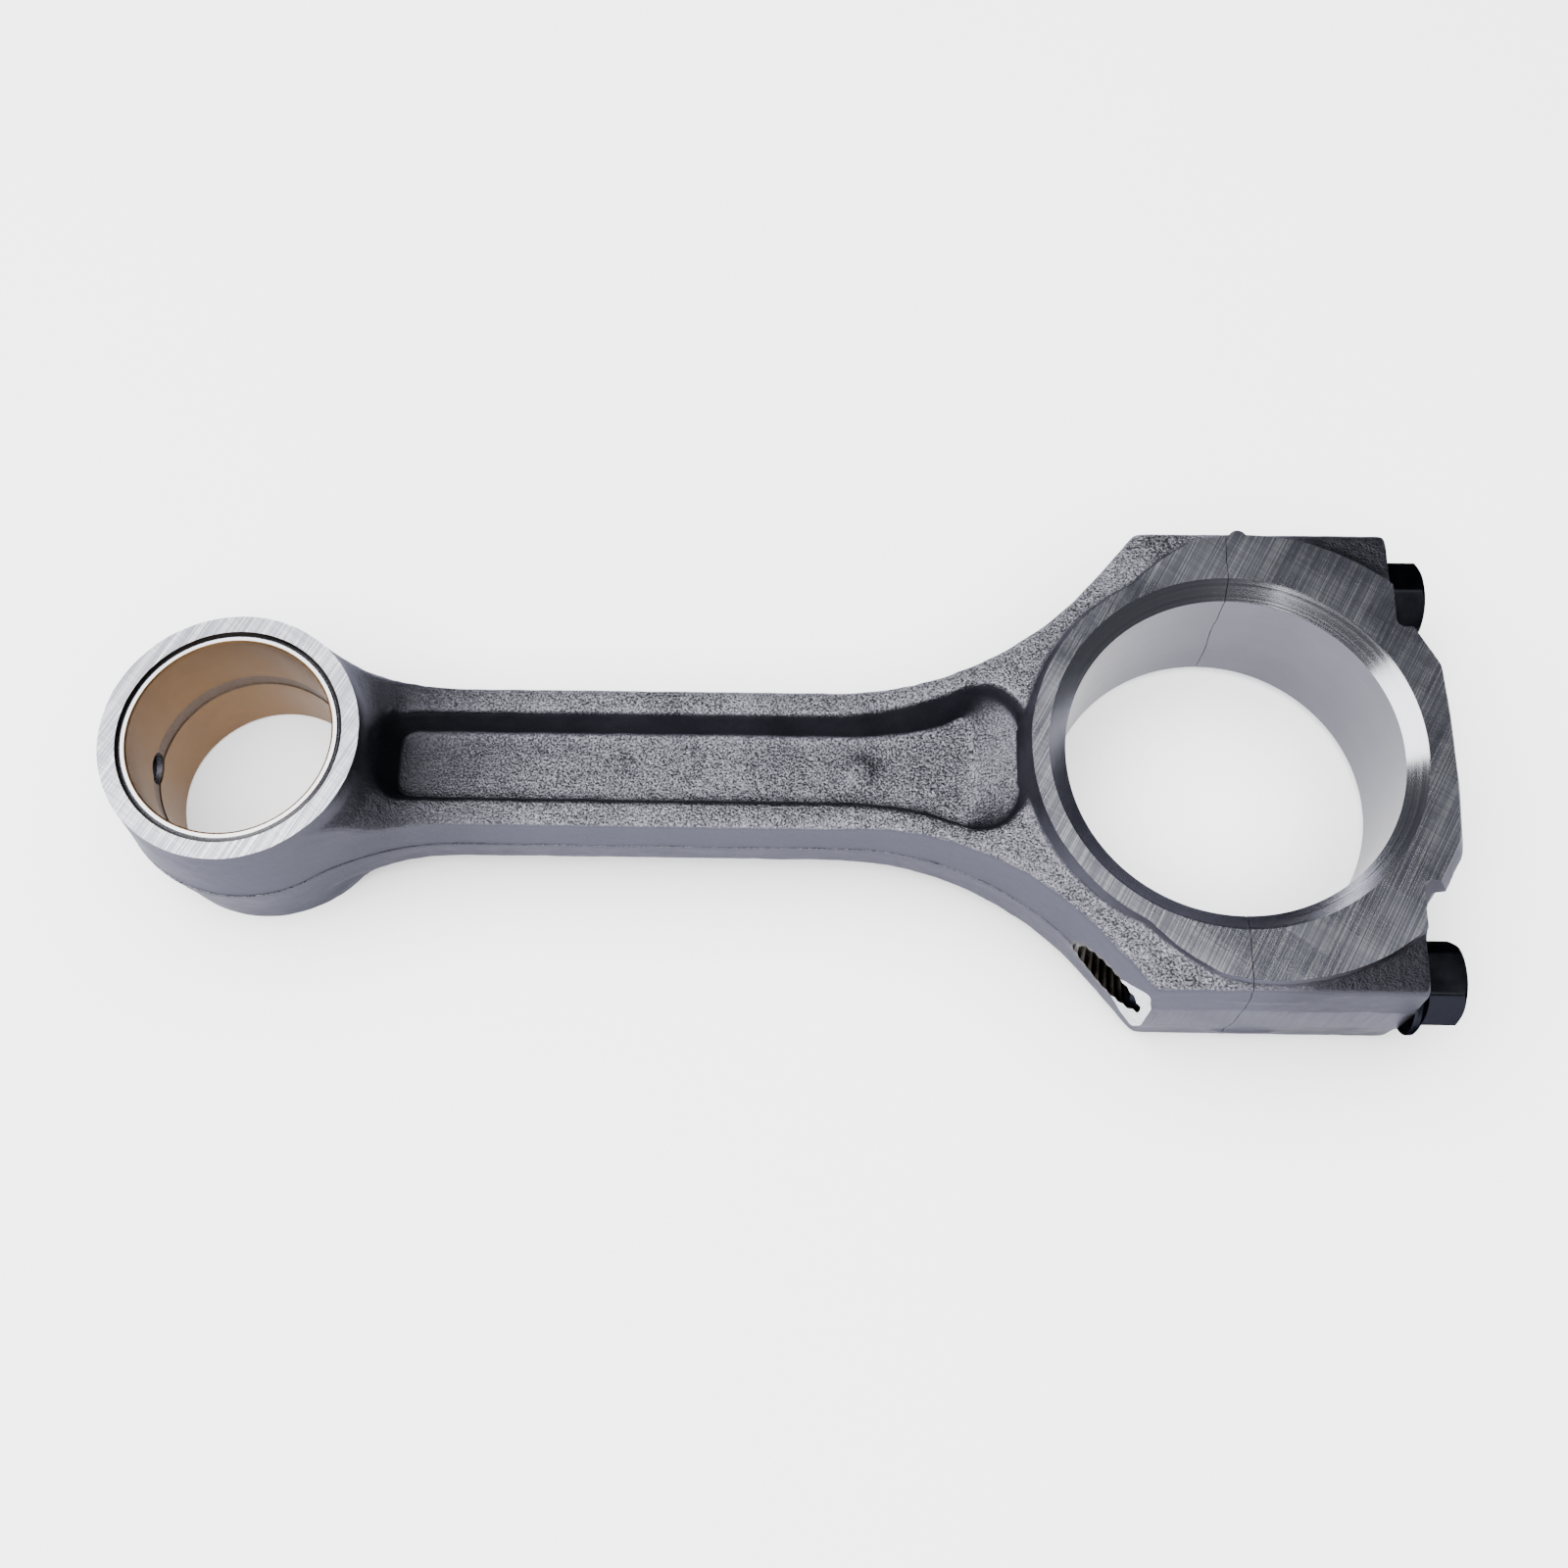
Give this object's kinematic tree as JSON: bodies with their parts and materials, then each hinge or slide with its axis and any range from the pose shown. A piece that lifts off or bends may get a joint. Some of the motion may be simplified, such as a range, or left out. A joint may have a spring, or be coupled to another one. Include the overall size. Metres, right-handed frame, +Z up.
{
  "type": "connecting rod",
  "caption": "Forged I-beam connecting rod with a cracked bearing cap, flanged cap bolts and a bronze-lined small-end bush.",
  "frame": {"origin": "middle of the bounding box at the lower ground face of the big end", "axes": "+X along the rod from small end to cap, +Y across it, +Z up along both bores"},
  "size_m": [0.2722, 0.1042, 0.0388],
  "materials": {
    "forged_steel": "shot-blasted forging with ground and bored faces",
    "bush_steel": "bright turned steel strip",
    "bronze": "satin bored bronze",
    "black_oxide_steel": "black oxide, satin"
  },
  "bodies": {
    "rod": {"rod_forging": "forged_steel", "bush_backing": "bush_steel", "bush_lining": "bronze"},
    "cap": {"rod_cap": "forged_steel"},
    "left_bolt": {"cap_bolt_left": "black_oxide_steel"},
    "right_bolt": {"cap_bolt_right": "black_oxide_steel"}
  },
  "joints": [
    {"name": "cap_lift", "type": "slide", "parent": "rod", "child": "cap", "axis": [1, 0, 0], "range_m": [0, 0.03]},
    {"name": "left_bolt_draw", "type": "slide", "parent": "cap", "child": "left_bolt", "axis": [1, 0, 0], "range_m": [0, 0.06]},
    {"name": "right_bolt_draw", "type": "slide", "parent": "cap", "child": "right_bolt", "axis": [1, 0, 0], "range_m": [0, 0.06]}
  ]
}
